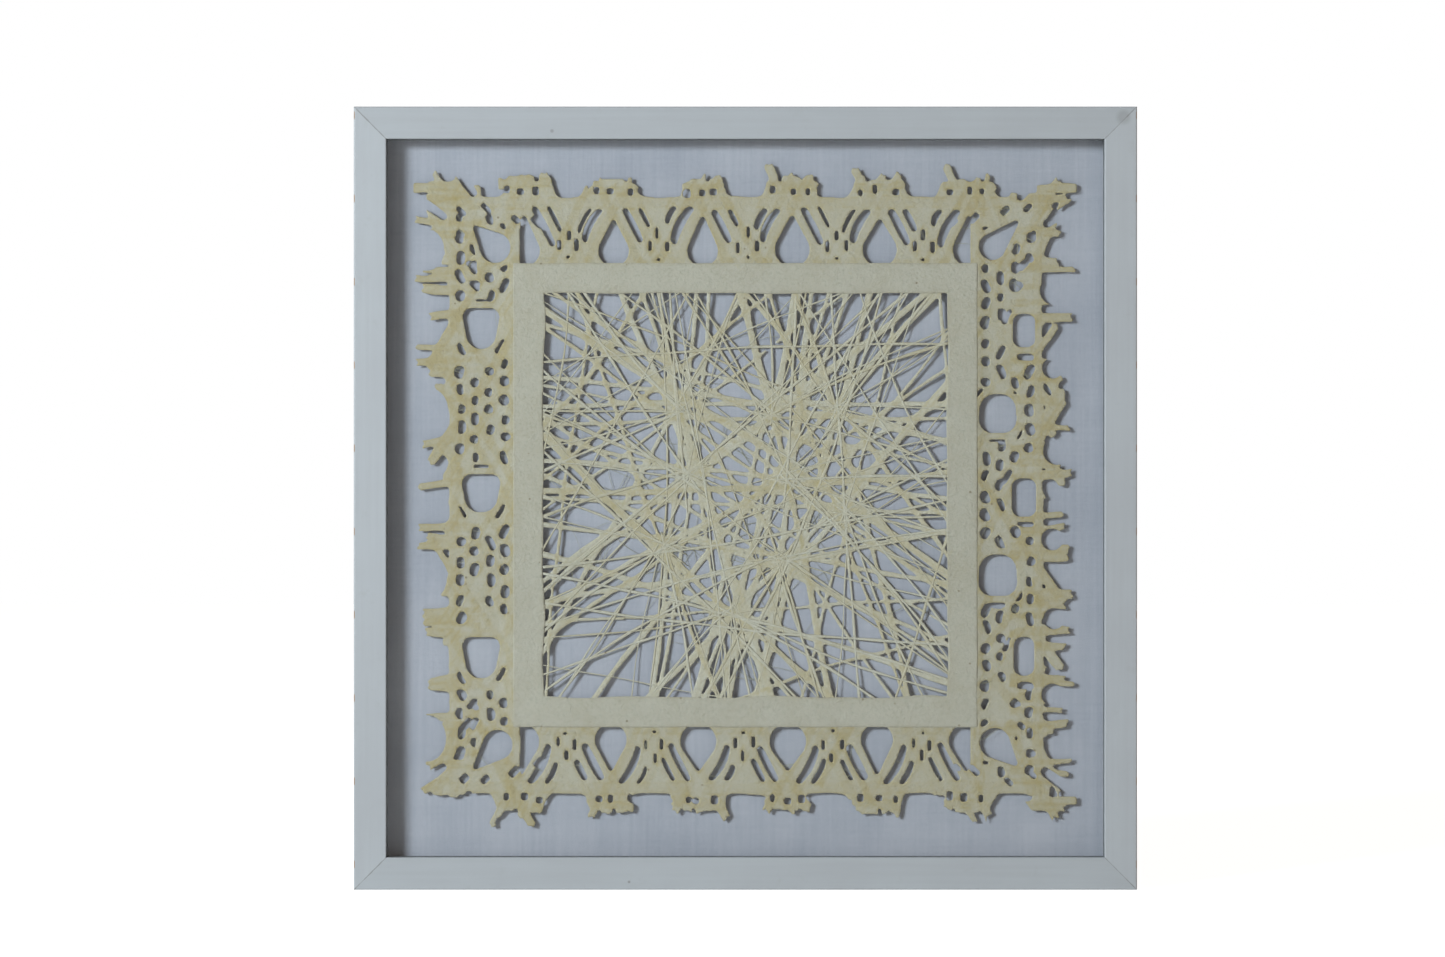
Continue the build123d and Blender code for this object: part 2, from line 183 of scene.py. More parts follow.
def paintedWood(name, alongZ):
    # satin wall paint brushed on pine moulding: soft sheen, faint brush marks along the length
    m = newMaterial(name)
    place = addNode(m, "TexCoord").outputs["Object"]
    xyz = addNode(m, "SeparateXYZ", {0: place})
    stretch = (1, 1, 0.03) if alongZ else (0.03, 1, 1)
    drawn = addNode(m, "Mapping", {"Vector": place, "Scale": stretch})
    marks = addNode(m, "TexNoise", {
        "Vector": drawn.outputs[0], "Scale": perMetre(paint["brushMark"] * 3), "Detail": 4})
    clouds = addNode(m, "TexNoise", {"Vector": place, "Scale": perMetre(paint["mottle"]), "Detail": 3})
    tone = addNode(m, "Math", {0: marks.outputs["Fac"], 1: clouds.outputs["Fac"]}, operation="ADD")
    tone = addNode(m, "MapRange", {"Value": tone.outputs[0], "From Min": 0.75, "From Max": 1.25})
    # colours for a rail or a stile; the rails' darker pair is painted shade
    coat, shade = hexColour(paint["coat"][alongZ]), hexColour(paint["coatShade"][alongZ])
    coat = addNode(m, "Mix", {0: tone.outputs[0], 6: coat, 7: shade}, data_type="RGBA")
    # hand grime in soft patches
    dirt = addNode(m, "TexNoise", {
        "Vector": place, "Scale": perMetre(paint["grimePatch"]), "Detail": 6, "Roughness": 0.7})
    dirt = addNode(m, "MapRange", {
        "Value": dirt.outputs["Fac"], "From Min": 0.6, "From Max": 0.85, "To Max": 0.3})
    coat = addNode(m, "Mix", {
        0: dirt.outputs[0], 6: coat.outputs[2], 7: hexColour(paint["grime"])}, data_type="RGBA")
    # dark line where the paint has cracked along each mitre
    up = addNode(m, "Math", {0: xyz.outputs["Z"], 1: 0.4}, operation="SUBTRACT")
    up = addNode(m, "Math", {0: up.outputs[0]}, operation="ABSOLUTE")
    out = addNode(m, "Math", {0: xyz.outputs["X"]}, operation="ABSOLUTE")
    off = addNode(m, "Math", {0: up.outputs[0], 1: out.outputs[0]}, operation="SUBTRACT")
    off = addNode(m, "Math", {0: off.outputs[0]}, operation="ABSOLUTE")
    ragged = addNode(m, "TexNoise", {"Vector": place, "Scale": perMetre(9), "Detail": 3})
    thin, wide = (w * mm for w in paint["crackWidth"])
    reach = addNode(m, "MapRange", {
        "Value": ragged.outputs["Fac"], "From Min": 0.35, "From Max": 0.7, "To Min": thin, "To Max": wide})
    crack = addNode(m, "Math", {0: off.outputs[0], 1: reach.outputs[0]}, operation="LESS_THAN")
    crack = addNode(m, "Math", {0: crack.outputs[0], 1: 0.55}, operation="MULTIPLY")
    coat = addNode(m, "Mix", {
        0: crack.outputs[0], 6: coat.outputs[2], 7: hexColour(paint["crackDirtAndDentShade"])}, data_type="RGBA")
    # rubbed spots down the outer arris, where bare wood shows
    beat = addNode(m, "Math", {0: xyz.outputs["Z"], 1: 0.0165}, operation="ADD")
    beat = addNode(m, "Math", {0: beat.outputs[0], 1: paint["rubPitch"] * mm}, operation="FLOORED_MODULO")
    beat = addNode(m, "Math", {0: beat.outputs[0], 1: paint["rubPitch"] * mm / 2}, operation="SUBTRACT")
    beat = addNode(m, "Math", {0: beat.outputs[0]}, operation="ABSOLUTE")
    near = addNode(m, "MapRange", {
        "Value": beat.outputs[0], "From Min": 0.003, "From Max": 0.0046, "To Min": 1, "To Max": 0})
    arris = addNode(m, "MapRange", {"Value": out.outputs[0], "From Min": 0.3986, "From Max": 0.3992})
    front = addNode(m, "MapRange", {
        "Value": xyz.outputs["Y"], "From Min": cadLow[1] + 0.0005, "From Max": cadLow[1] + 0.0016,
        "To Min": 1, "To Max": 0})
    rubbed = addNode(m, "Math", {0: near.outputs[0], 1: arris.outputs[0]}, operation="MULTIPLY")
    rubbed = addNode(m, "Math", {0: rubbed.outputs[0], 1: front.outputs[0]}, operation="MULTIPLY")
    coat = addNode(m, "Mix", {
        0: rubbed.outputs[0], 6: coat.outputs[2], 7: hexColour(paint["bareWood"])}, data_type="RGBA")
    # dark spots: the dent's is painted shade, the dot and the smudge are dirt
    for x, z, radius, strength in paint["spots"]:
        away = addNode(m, "VectorMath", {0: place, 1: (x * mm, cadLow[1], z * mm)}, operation="DISTANCE")
        spot = addNode(m, "MapRange", {
            "Value": away.outputs["Value"], "From Min": radius * mm / 2, "From Max": radius * mm,
            "To Min": strength, "To Max": 0})
        coat = addNode(m, "Mix", {
            0: spot.outputs[0], 6: coat.outputs[2], 7: hexColour(paint["crackDirtAndDentShade"])}, data_type="RGBA")
    height = addNode(m, "TexNoise", {
        "Vector": drawn.outputs[0], "Scale": perMetre(paint["brushMark"]), "Detail": 3})
    bump = addNode(m, "Bump", {"Height": height.outputs["Fac"], "Strength": 0.15, "Distance": 0.0003})
    gloss = addNode(m, "MapRange", {
        "Value": clouds.outputs["Fac"], "To Min": paint["roughness"] - 0.06,
        "To Max": paint["roughness"] + 0.1})
    shader = addNode(m, "BsdfPrincipled", {
        "Base Color": coat.outputs[2], "Roughness": gloss.outputs[0], "IOR": 1.48,
        "Normal": bump.outputs[0]})
    addNode(m, "OutputMaterial", {"Surface": shader.outputs[0]})
    return m


# the lesser materials

glass = {"ior": 1.25, "tint": "#FBFDFC", "polish": 0.02}


def clearPane():
    # thin low-reflection picture glass: lets the light straight through, faint mirror at the surface
    m = newMaterial("lowReflectionGlass")
    # only the faces turned to the ray mirror it, so that the pane stays clear from the side
    edge = addNode(m, "Fresnel", {"IOR": glass["ior"]})
    inside = addNode(m, "NewGeometry").outputs["Backfacing"]
    facing = addNode(m, "Math", {0: 1, 1: inside}, operation="SUBTRACT")
    edge = addNode(m, "Math", {0: edge.outputs[0], 1: facing.outputs[0]}, operation="MULTIPLY")
    through = addNode(m, "BsdfTransparent", {"Color": hexColour(glass["tint"])})
    mirror = addNode(m, "BsdfGlossy", {"Color": (1, 1, 1, 1), "Roughness": glass["polish"]})
    both = addNode(m, "MixShader", {0: edge.outputs[0], 1: through.outputs[0], 2: mirror.outputs[0]})
    addNode(m, "OutputMaterial", {"Surface": both.outputs[0]})
    return m


def boardMaterial(name, face, fleck, grain, roughness, depth):
    # pressed or pasted board: short fibres and flecks in the sheet
    m = newMaterial(name)
    place = addNode(m, "TexCoord").outputs["Object"]
    fibres = addNode(m, "TexNoise", {
        "Vector": place, "Scale": perMetre(grain), "Detail": 6, "Roughness": 0.65})
    cloud = addNode(m, "TexNoise", {"Vector": place, "Scale": perMetre(grain * 14), "Detail": 2})
    tone = addNode(m, "Math", {0: fibres.outputs["Fac"], 1: cloud.outputs["Fac"]}, operation="ADD")
    tone = addNode(m, "MapRange", {"Value": tone.outputs[0], "From Min": 0.8, "From Max": 1.3})
    colour = addNode(m, "Mix", {
        0: tone.outputs[0], 6: hexColour(face), 7: hexColour(fleck)}, data_type="RGBA")
    bump = addNode(m, "Bump", {"Height": fibres.outputs["Fac"], "Strength": 0.5, "Distance": depth * mm})
    shader = addNode(m, "BsdfPrincipled", {
        "Base Color": colour.outputs[2], "Roughness": roughness, "Normal": bump.outputs[0]})
    addNode(m, "OutputMaterial", {"Surface": shader.outputs[0]})
    return m


def metalMaterial(name, bright, dull, grain, roughness):
    # sheet steel, rolled and zinc plated: streaks along the rolling and dull oxide clouds
    m = newMaterial(name)
    place = addNode(m, "TexCoord").outputs["Object"]
    drawn = addNode(m, "Mapping", {"Vector": place, "Scale": (1, 1, 0.08)})
    streak = addNode(m, "TexNoise", {"Vector": drawn.outputs[0], "Scale": perMetre(grain), "Detail": 5})
    cloud = addNode(m, "TexNoise", {"Vector": place, "Scale": perMetre(4), "Detail": 4})
    tone = addNode(m, "Math", {0: streak.outputs["Fac"], 1: cloud.outputs["Fac"]}, operation="MULTIPLY")
    tone = addNode(m, "MapRange", {"Value": tone.outputs[0], "From Min": 0.15, "From Max": 0.4})
    colour = addNode(m, "Mix", {
        0: tone.outputs[0], 6: hexColour(dull), 7: hexColour(bright)}, data_type="RGBA")
    rough = addNode(m, "MapRange", {
        "Value": streak.outputs["Fac"], "To Min": roughness - 0.1, "To Max": roughness + 0.15})
    bump = addNode(m, "Bump", {"Height": streak.outputs["Fac"], "Strength": 0.2, "Distance": 0.0001})
    shader = addNode(m, "BsdfPrincipled", {
        "Base Color": colour.outputs[2], "Metallic": 1, "Roughness": rough.outputs[0],
        "Normal": bump.outputs[0]})
    addNode(m, "OutputMaterial", {"Surface": shader.outputs[0]})
    return m


# the rails take the darker coat, which is painted shade
shadedRailPaint = paintedWood("satinPaintOnPineRailWithPaintedShade", False)
stilePaint = paintedWood("satinPaintOnPineStile", True)
pane = clearPane()
foamBoard = boardMaterial("whiteFoamBoard", "#B9BCBE", "#A9ABAD", 0.8, 0.8, 0.05)
# painted shade: the spacers are dark grey so that the frame's inner walls read dark and throw little light
# onto the linen beside them
spacerFoamPaintedShade = boardMaterial("greyFoamSpacerPaintedShade", "#6E7073", "#626467", 0.8, 0.85, 0.05)
mountCard = boardMaterial("greyMountBoard", "#A8A49A", "#8E8A80", 1.2, 0.85, 0.05)
hardboard = boardMaterial("oilTemperedHardboard", "#7C5B3D", "#5D4129", 1.6, 0.62, 0.12)
bluedSteel = metalMaterial("bluedSteelPoint", "#8C9094", "#5E6266", 0.5, 0.38)
zincPlate = metalMaterial("zincPlatedSteel", "#C9CBCB", "#9A9C9C", 0.5, 0.3)

nodeFinish = {
    "frame_top_rail": shadedRailPaint, "frame_bottom_rail": shadedRailPaint,
    "frame_left_stile": stilePaint, "frame_right_stile": stilePaint,
    "glazing_pane": pane,
    "spacer_top": spacerFoamPaintedShade, "spacer_bottom": spacerFoamPaintedShade,
    "spacer_left": spacerFoamPaintedShade, "spacer_right": spacerFoamPaintedShade,
    "riser_top": foamBoard, "riser_bottom": foamBoard,
    "riser_left": foamBoard, "riser_right": foamBoard,
    "mount_board": mountCard, "back_board": hardboard,
    "corner_v_nails": bluedSteel, "framer_points": bluedSteel,
    "hanger_plates": zincPlate, "hanger_screws": zincPlate,
}
for name, material in nodeFinish.items():
    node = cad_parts[name]
    if not node.material_slots:
        node.data.materials.append(material)
    for slot in node.material_slots:
        slot.material = material
print("finishes on", len(nodeFinish), "modelled pieces")


def addPiece(name, points, faces, material, smooth=True):
    mesh = bpy.data.meshes.new(name)
    mesh.from_pydata([(x * mm, y * mm, z * mm) for x, y, z in points], [], faces)
    mesh.materials.append(material)
    mesh.polygons.foreach_set("use_smooth", [smooth] * len(mesh.polygons))
    mesh.update()
    piece = bpy.data.objects.new(name, mesh)
    bpy.context.scene.collection.objects.link(piece)
    return piece


# linen, drawn over the mount board and turned in behind it

linen = {
    "thread": 1.1,  # mm, drawn coarser than the cloth so that it shows
    "slub": "#A4A5B1",
    "pale": "#B6B5BF",
    "fold": 1.1,  # mm, radius of the turned edge
    "turnIn": 40,
    "cloth": 0.5,
    "squares": 64,
}


def linenMaterial():
    # plain-woven undyed linen: fine crossing threads, long slubs mostly up and down, no shine
    m = newMaterial("plainWovenLinen")
    place = addNode(m, "TexCoord").outputs["Object"]
    # stretch of each pattern, and its width in threads
    patterns = {
        "warpSlub": ((1, 1, 0.02), 3.4),
        "weftSlub": ((0.03, 1, 1), 3.4),
        "warpThread": ((1, 1, 0.15), 1),
        "weftThread": ((0.15, 1, 1), 1),
    }
    drawn = {}
    for name, (stretch, threads) in patterns.items():
        spot = addNode(m, "Mapping", {"Vector": place, "Scale": stretch})
        noise = addNode(m, "TexNoise", {
            "Vector": spot.outputs[0], "Scale": perMetre(linen["thread"] * threads), "Detail": 3,
            "Roughness": 0.6})
        drawn[name] = noise.outputs["Fac"]
    cloud = addNode(m, "TexNoise", {"Vector": place, "Scale": perMetre(90), "Detail": 2})
    tone = cloud.outputs["Fac"]
    for name, weight in (("warpSlub", 0.7), ("weftSlub", 0.35), ("warpThread", 0.5), ("weftThread", 0.5)):
        tone = addNode(m, "Math", {0: drawn[name], 1: weight, 2: tone}, operation="MULTIPLY_ADD").outputs[0]
    tone = addNode(m, "MapRange", {"Value": tone, "From Min": 1.2, "From Max": 1.85})
    colour = addNode(m, "Mix", {
        0: tone.outputs[0], 6: hexColour(linen["slub"]), 7: hexColour(linen["pale"])}, data_type="RGBA")
    height = addNode(m, "Math", {0: drawn["warpThread"], 1: drawn["weftThread"]}, operation="ADD")
    bump = addNode(m, "Bump", {"Height": height.outputs[0], "Strength": 0.3, "Distance": 0.0004})
    shader = addNode(m, "BsdfPrincipled", {
        "Base Color": colour.outputs[2], "Roughness": 0.92, "Specular IOR Level": 0.2, "Sheen Weight": 0.08,
        "Normal": bump.outputs[0]})
    addNode(m, "OutputMaterial", {"Surface": shader.outputs[0]})
    return m


def ringFaces(one, two):
    n = len(one)
    return [[one[k], two[k], two[(k + 1) % n], one[(k + 1) % n]] for k in range(n)]


def linenCover():
    low, high = (v * 1000 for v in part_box("linen_cover"))
    wide, tall = (high.x - low.x) / 2, (high.z - low.z) / 2
    middle = ((low.x + high.x) / 2, (low.z + high.z) / 2)
    n, r, t = linen["squares"], linen["fold"], linen["cloth"]
    points, faces = [], []
    # outside of the cloth, then its inside, one cloth thickness in
    for inset, turned in ((0, False), (t, True)):
        first = len(points)
        front, back = low.y + inset, high.y - inset
        halfX, halfZ = wide - inset - r, tall - inset - r
        for j in range(n + 1):
            for i in range(n + 1):
                x, z = halfX * (2 * i / n - 1), halfZ * (2 * j / n - 1)
                points.append((middle[0] + x, front, middle[1] + z))
        rim = [j * (n + 1) + i for i, j in
               [(i, 0) for i in range(n)] + [(n, j) for j in range(n)]
               + [(i, n) for i in range(n, 0, -1)] + [(0, j) for j in range(n, 0, -1)]]
        shell = [[first + j * (n + 1) + i + k for k in (0, 1, n + 2, n + 1)]
                 for j in range(n) for i in range(n)]
        ring = [first + v for v in rim]
        # over the front edge, down the side, round the back edge and in behind the board
        deepest, turns = back - front, (0.5, 1.05)
        steps = [(r * sin(a), r * (1 - cos(a))) for a in turns]
        steps += [(r, r), (r, deepest / 2), (r, deepest - r)]
        steps += [(r * cos(a), deepest - r * (1 - sin(a))) for a in turns] + [(0, deepest)]
        steps += [(-(linen["turnIn"] - r) * k / 4, deepest) for k in (1, 2, 3, 4)]
        for outward, deep in steps:
            new = []
            for v in rim:
                i, j = v % (n + 1), v // (n + 1)
                x = (halfX + outward) * (2 * i / n - 1)
                z = (halfZ + outward) * (2 * j / n - 1)
                new.append(len(points))
                points.append((middle[0] + x, front + deep, middle[1] + z))
            shell += ringFaces(ring, new)
            ring = new
        if turned:
            shell = [f[::-1] for f in shell]
            faces += ringFaces(last, ring)
        last = ring
        faces += shell
    cover = addPiece("linen_over_board", points, faces, linenMaterial())
    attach(cover, "root")
    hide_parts("linen_cover")
    return cover


linenCover()
print("linen stretched over its board")


# openwork sheet: torn strips of fibre paper laid across each other and felted into one sheet

openwork = {
    "middle": 403,  # mm above the lower edge of the frame
    "bandOuter": 476,
    "bandWidth": 31,
    "fieldStep": 1.95,  # mm between the points of the height field
    "fieldHalf": 344,
    "laceBlend": 1.5,  # how softly wet strips run together
    "webBlend": 1.0,
    "dropPitch": 91,
    "drops": 6,
    "flank": 63,  # degrees
    "windowPitch": 168,
    "starNodes": 9,
    "strandsThrough": 5,
    "strandWidths": (2.8, 3.4, 4.3, 5.3),
    "strays": 12,
    "strayWidths": (2.8, 3.2, 4.2),
    "sag": 5.3,  # mm that the web has sunk towards the linen
    "droop": 1.4,  # mm that the border has sunk outside the strips that carry the band
    "seed": 5,
}
band = openwork["bandOuter"] / 2
opening = band - openwork["bandWidth"]
step = openwork["fieldStep"]
count = int(2 * openwork["fieldHalf"] / step) + 1
line = -openwork["fieldHalf"] + step * np.arange(count)
gridX, gridZ = np.meshgrid(line, line)


def newField(blend):
    field = {name: np.zeros((count, count)) for name in ("sum", "layers", "tint", "crown", "seamAndCreaseShade")}
    field["sum"] += 1e-12
    return dict(field, blend=blend)


def layStrip(field, start, end, width, rng, bow=1.0, wander=1.0, tint=None):
    # adds one torn strip to the field: its edges wander, and its tone is its own
    x0, z0, x1, z1 = *start, *end
    length = hypot(x1 - x0, z1 - z0)
    c, s = (x1 - x0) / length, (z1 - z0) / length
    reach = width + abs(bow) + 6 * field["blend"] + 4
    low = [max(int((min(p, q) - reach + openwork["fieldHalf"]) / step), 0) for p, q in ((z0, z1), (x0, x1))]
    high = [min(int((max(p, q) + reach + openwork["fieldHalf"]) / step) + 2, count)
            for p, q in ((z0, z1), (x0, x1))]
    if low[0] >= high[0] or low[1] >= high[1]:
        return
    area = (slice(low[0], high[0]), slice(low[1], high[1]))
    x, z = gridX[area] - x0, gridZ[area] - z0
    along, across = x * c + z * s, z * c - x * s
    share = np.clip(along / length, 0, 1)
    turns = [rng.uniform(0, 2 * pi) for i in range(4)]
    middle = bow * 4 * share * (1 - share) + wander * 0.5 * np.sin(along / 23 + turns[0])
    half = width / 2 * (1 + 0.14 * np.sin(along / 14 + turns[1]) + 0.07 * np.sin(along / 5.1 + turns[2]))
    torn = 1.4 * np.sin(across * 0.8 + turns[3])
    outside = np.maximum(np.abs(across - middle) - half, np.maximum(-along, along - length + torn))
    field["sum"][area] += np.exp(-np.clip(outside / field["blend"], -30, 30))
    cover = np.clip(0.5 - outside / 2.4, 0, 1)
    field["layers"][area] += cover
    tone = rng.random() ** 2 if tint is None else tint
    # a darker line along the strip's edge: the paper's own lap line and painted shade of the crease where
    # strips lap
    seamAndCreaseShade = rng.uniform(0.4, 1) * np.exp(-(outside / 1.3) ** 2)
    field["seamAndCreaseShade"][area] = np.maximum(field["seamAndCreaseShade"][area] * (1 - 0.5 * cover), seamAndCreaseShade)
    field["tint"][area] = np.maximum(field["tint"][area], tone * cover)
    crown = cover * (1 - np.clip(np.abs(across - middle) / half, 0, 1) ** 2)
    field["crown"][area] = np.maximum(field["crown"][area], crown)


def distance(field):
    return -field["blend"] * np.log(field["sum"])


def blended(a, b, blend):
    return -blend * np.log(np.exp(-np.clip(a / blend, -40, 40)) + np.exp(-np.clip(b / blend, -40, 40)))


def toSheet(side, v, u):  # side 0 top, 1 left, 2 bottom, 3 right; v runs along the band and u away from it
    a = radians(90 * side)
    return v * cos(a) - (band + u) * sin(a), v * sin(a) + (band + u) * cos(a)


def toSide(side):
    a = radians(90 * side)
    return gridX * cos(a) + gridZ * sin(a), gridZ * cos(a) - gridX * sin(a) - band


def roundedHole(v, u, width, height, corner, taper=0.0):
    half = width / 2 + taper * v
    q, p = np.abs(u) - (half - corner), np.abs(v) - (height / 2 - corner)
    return np.hypot(np.maximum(q, 0), np.maximum(p, 0)) + np.minimum(np.maximum(q, p), 0) - corner


def dropHole(v, u, radius, height, tip):
    # round below, drawn to a point above
    rise = height - tip - 0.8 * radius
    slope = (radius - tip) / rise
    flat = sqrt(1 - slope * slope)
    p, q = np.abs(v), u - 0.8 * radius
    k = -slope * p + flat * q
    body = np.where(k > flat * rise, np.hypot(p, q - rise) - tip, flat * p + slope * q - radius)
    return np.where(k < 0, np.hypot(p, q) - radius, body)


def slitHole(v, u, v0, u0, v1, u1, width, bow=0.0):
    # a long narrow hole with round ends, bowed sideways
    length = hypot(v1 - v0, u1 - u0)
    c, s = (v1 - v0) / length, (u1 - u0) / length
    along, across = (v - v0) * c + (u - u0) * s, (u - u0) * c - (v - v0) * s
    share = np.clip(along / length, 0, 1)
    off = across - bow * 4 * share * (1 - share)
    half = width / 2 * (0.72 + 0.28 * np.sin(pi * share))
    return np.hypot(off, np.maximum(np.abs(along - length / 2) - length / 2 + width / 2, 0)) - half


def pierced(sheet, hole, rim, blend=1.6):
    # opens a hole and keeps a rim of paper round it
    return np.maximum(blended(sheet, np.abs(hole - rim / 2) - rim / 2, blend), -hole)


# the border, measured from the outside of the band: v runs along it and u away from it

border = {
    "railBars": ((61, 12), (3, 8)),  # u and width of the strips along the top and bottom
    "stileBars": ((60, 9), (3, 8)),
    "flankStrips": (25, 44, 62),  # from the middle of a drop
    "tabs": (-66, -54, -43, -30, -17, 18, 31, 43, 55, 67),  # from the middle of a window
    "corner": 292,  # whole paper ends here, and the corner's strips begin
    "crownOvals": ((-17, 73), (-1, 73), (14, 72)),
    "betweenOvals": ((0, 30), (-9, 17), (9.5, 17), (0, 5)),
    "dropTip": 2.4,
    "holeRows": (9, 24, 39, 54),
    "holePitch": 19.5,
    "windowSlots": ((-9, -24, -25, -15, 6.5), (-11, 23, -25, 16, 5.5), (27, -10, 28, 9, 7),
                    (14, 24, 26, 19, 4)),
    "leftScallops": (-251, -84, 84, 251),
    "rightScallops": (-212, -128, -40, 44, 126, 208),
    "cornerOvals": ((60, 19), (60, -19), (30, 34), (32, -33), (10, 47), (12, -46), (74, 3)),
    "cornerSplits": (-21, 16),
}
topSide, leftSide, bottomSide, rightSide = range(4)


def railStrips(rng, drops, lean):  # strips above and below: they cross in a point over each drop
    strips = []
    pitch = openwork["dropPitch"]
    for side in (topSide, bottomSide):
        for u, wide in border["railBars"]:
            v0, v1 = -314 + rng.uniform(-8, 8), 314 + rng.uniform(-8, 8)
            strips.append((side, v0, u, v1, u + rng.uniform(-1.5, 1.5), wide, 0.25))
        for x in [drops[0] - pitch] + drops + [drops[-1] + pitch]:
            crown = rng.uniform(20, 27)
            u0, u1 = 78 + rng.uniform(-3, 5), 80 + rng.uniform(-5, 3)
            strips.append((side, x - crown, u0, x + crown, u1, rng.uniform(7, 11), 0.6))
            for off in border["flankStrips"]:
                for way in (-1, 1):
                    aside = off + rng.uniform(-2.5, 2.5)
                    top = rng.uniform(80, 102) if off < 60 else rng.uniform(60, 92)
                    tilt = lean + rng.uniform(-0.05, 0.05)
                    v0, v1 = x - way * (aside + tilt * 6), x - way * (aside - tilt * top)
                    if abs(v1) > 326:
                        top = 66
                        v1 = x - way * (aside - tilt * top)
                    if abs(v0) < 306 and abs(v1) < 334:
                        strips.append((side, v0, -6, v1, top, rng.uniform(6.5, 9.5), None))
    return strips


def stileStrips(rng):  # strips at the sides: a lattice, with torn tabs beyond it
    strips = []
    for side in (leftSide, rightSide):
        for u, wide in border["stileBars"]:
            v0, v1 = -316 + rng.uniform(-8, 8), 316 + rng.uniform(-8, 8)
            strips.append((side, v0, u, v1, u + rng.uniform(-1.5, 1.5), wide, 0.25))
        for i in range(-10, 11):
            for way in (-1, 1):
                v0 = i * 37 + rng.uniform(-4, 4) + 9 * way
                u1 = rng.uniform(60, 90)
                v1 = v0 + way * rng.uniform(1.35, 1.7) * (u1 + 6)
                if max(abs(v0), abs(v1)) < 318:
                    strips.append((side, v0, -6, v1, u1, rng.uniform(6.5, 9.5), None))
        for k in (-2, -1, 0, 1, 2):
            for off in border["tabs"]:
                shift = 0 if side == leftSide else openwork["windowPitch"] / 2
                v = k * openwork["windowPitch"] + shift + off + rng.uniform(-5, 5)
                if abs(v) < 318 and rng.random() < 0.8:
                    slant = rng.uniform(-9, 9) if side == leftSide else rng.uniform(-3, 3)
                    strips.append((side, v, 34, v + slant, rng.uniform(84, 101), rng.uniform(5.5, 9), 0.7))
    return strips


def pierceRails(sheet, rng, drops, lean):
    half = openwork["dropPitch"] / 2
    for side in (topSide, bottomSide):
        v, u = toSide(side)
        # whole paper along the side, with a crown over each drop and a smooth scallop between crowns
        whole = np.maximum(np.abs(v) - border["corner"], np.abs(u - 30) - 36)
        for x in drops:
            peak = rng.uniform(17, 21)
            flank = np.abs(v - x - rng.uniform(-3, 3)) - peak + 0.3 * (u - 66)
            whole = blended(whole, np.maximum(flank, np.abs(u - 60) - rng.uniform(24, 30)), 5.5)
        sheet = blended(sheet, whole, 1.2)
        for x in drops:
            drop = dropHole(v - x, u, rng.uniform(15.5, 19), rng.uniform(43, 50), border["dropTip"])
            sheet = pierced(sheet, drop, 5)
            for way, bow in ((-1, 3.5), (1, 0.6)):
                if abs(x + way * 40) > band + 18:  # the corner has its own holes
                    continue
                # two slits beside the drop: a long one and a shorter one outside it
                foot, top = rng.uniform(15, 21), rng.uniform(55, 59)
                near = x + way * rng.uniform(28, 31)
                end = near - way * lean * (top - foot)
                slit = slitHole(v, u, near, foot, end, top, rng.uniform(7, 10), -way * bow)
                sheet = np.maximum(sheet, -slit)
                foot = rng.uniform(30, 40)
                near = x + way * rng.uniform(36, 38)
                end = near - way * lean * (top - foot)
                slit = slitHole(v, u, near, foot, end, top, rng.uniform(3.5, 7), -way * bow * 0.5)
                sheet = np.maximum(sheet, -slit)
            for aside, up in border["crownOvals"]:
                oval = roundedHole(v - x - aside - rng.uniform(-4, 4), u - up - rng.uniform(-2, 3),
                                   rng.uniform(6, 9.5), rng.uniform(4.5, 7.5), 2.2)
                sheet = np.maximum(sheet, -oval)
            base = x + rng.choice((-12, -3, 5, 13))
            slot = slitHole(v, u, base, 83, base + rng.uniform(-3, 3), 103, rng.uniform(3.5, 6))
            sheet = np.maximum(sheet, -slot)
            for nibble in range(3):  # torn places along the crown
                x2, u2 = x + rng.uniform(-26, 26), rng.uniform(90, 100)
                sheet = np.maximum(sheet, rng.uniform(3, 7) - np.hypot(v - x2, u - u2))
        for x in [drops[0] - half] + [d + half for d in drops]:
            # three small upright ovals and a pinhole between the drops
            for aside, up in border["betweenOvals"]:
                tall = 11 if up > 10 else 3.4
                oval = roundedHole(v - x - aside - rng.uniform(-1.5, 1.5), u - up - rng.uniform(-2, 2),
                                   rng.uniform(0.8, 1.1) * tall, rng.uniform(3.2, 4.6), 1.6)
                sheet = np.maximum(sheet, -oval)
    return sheet


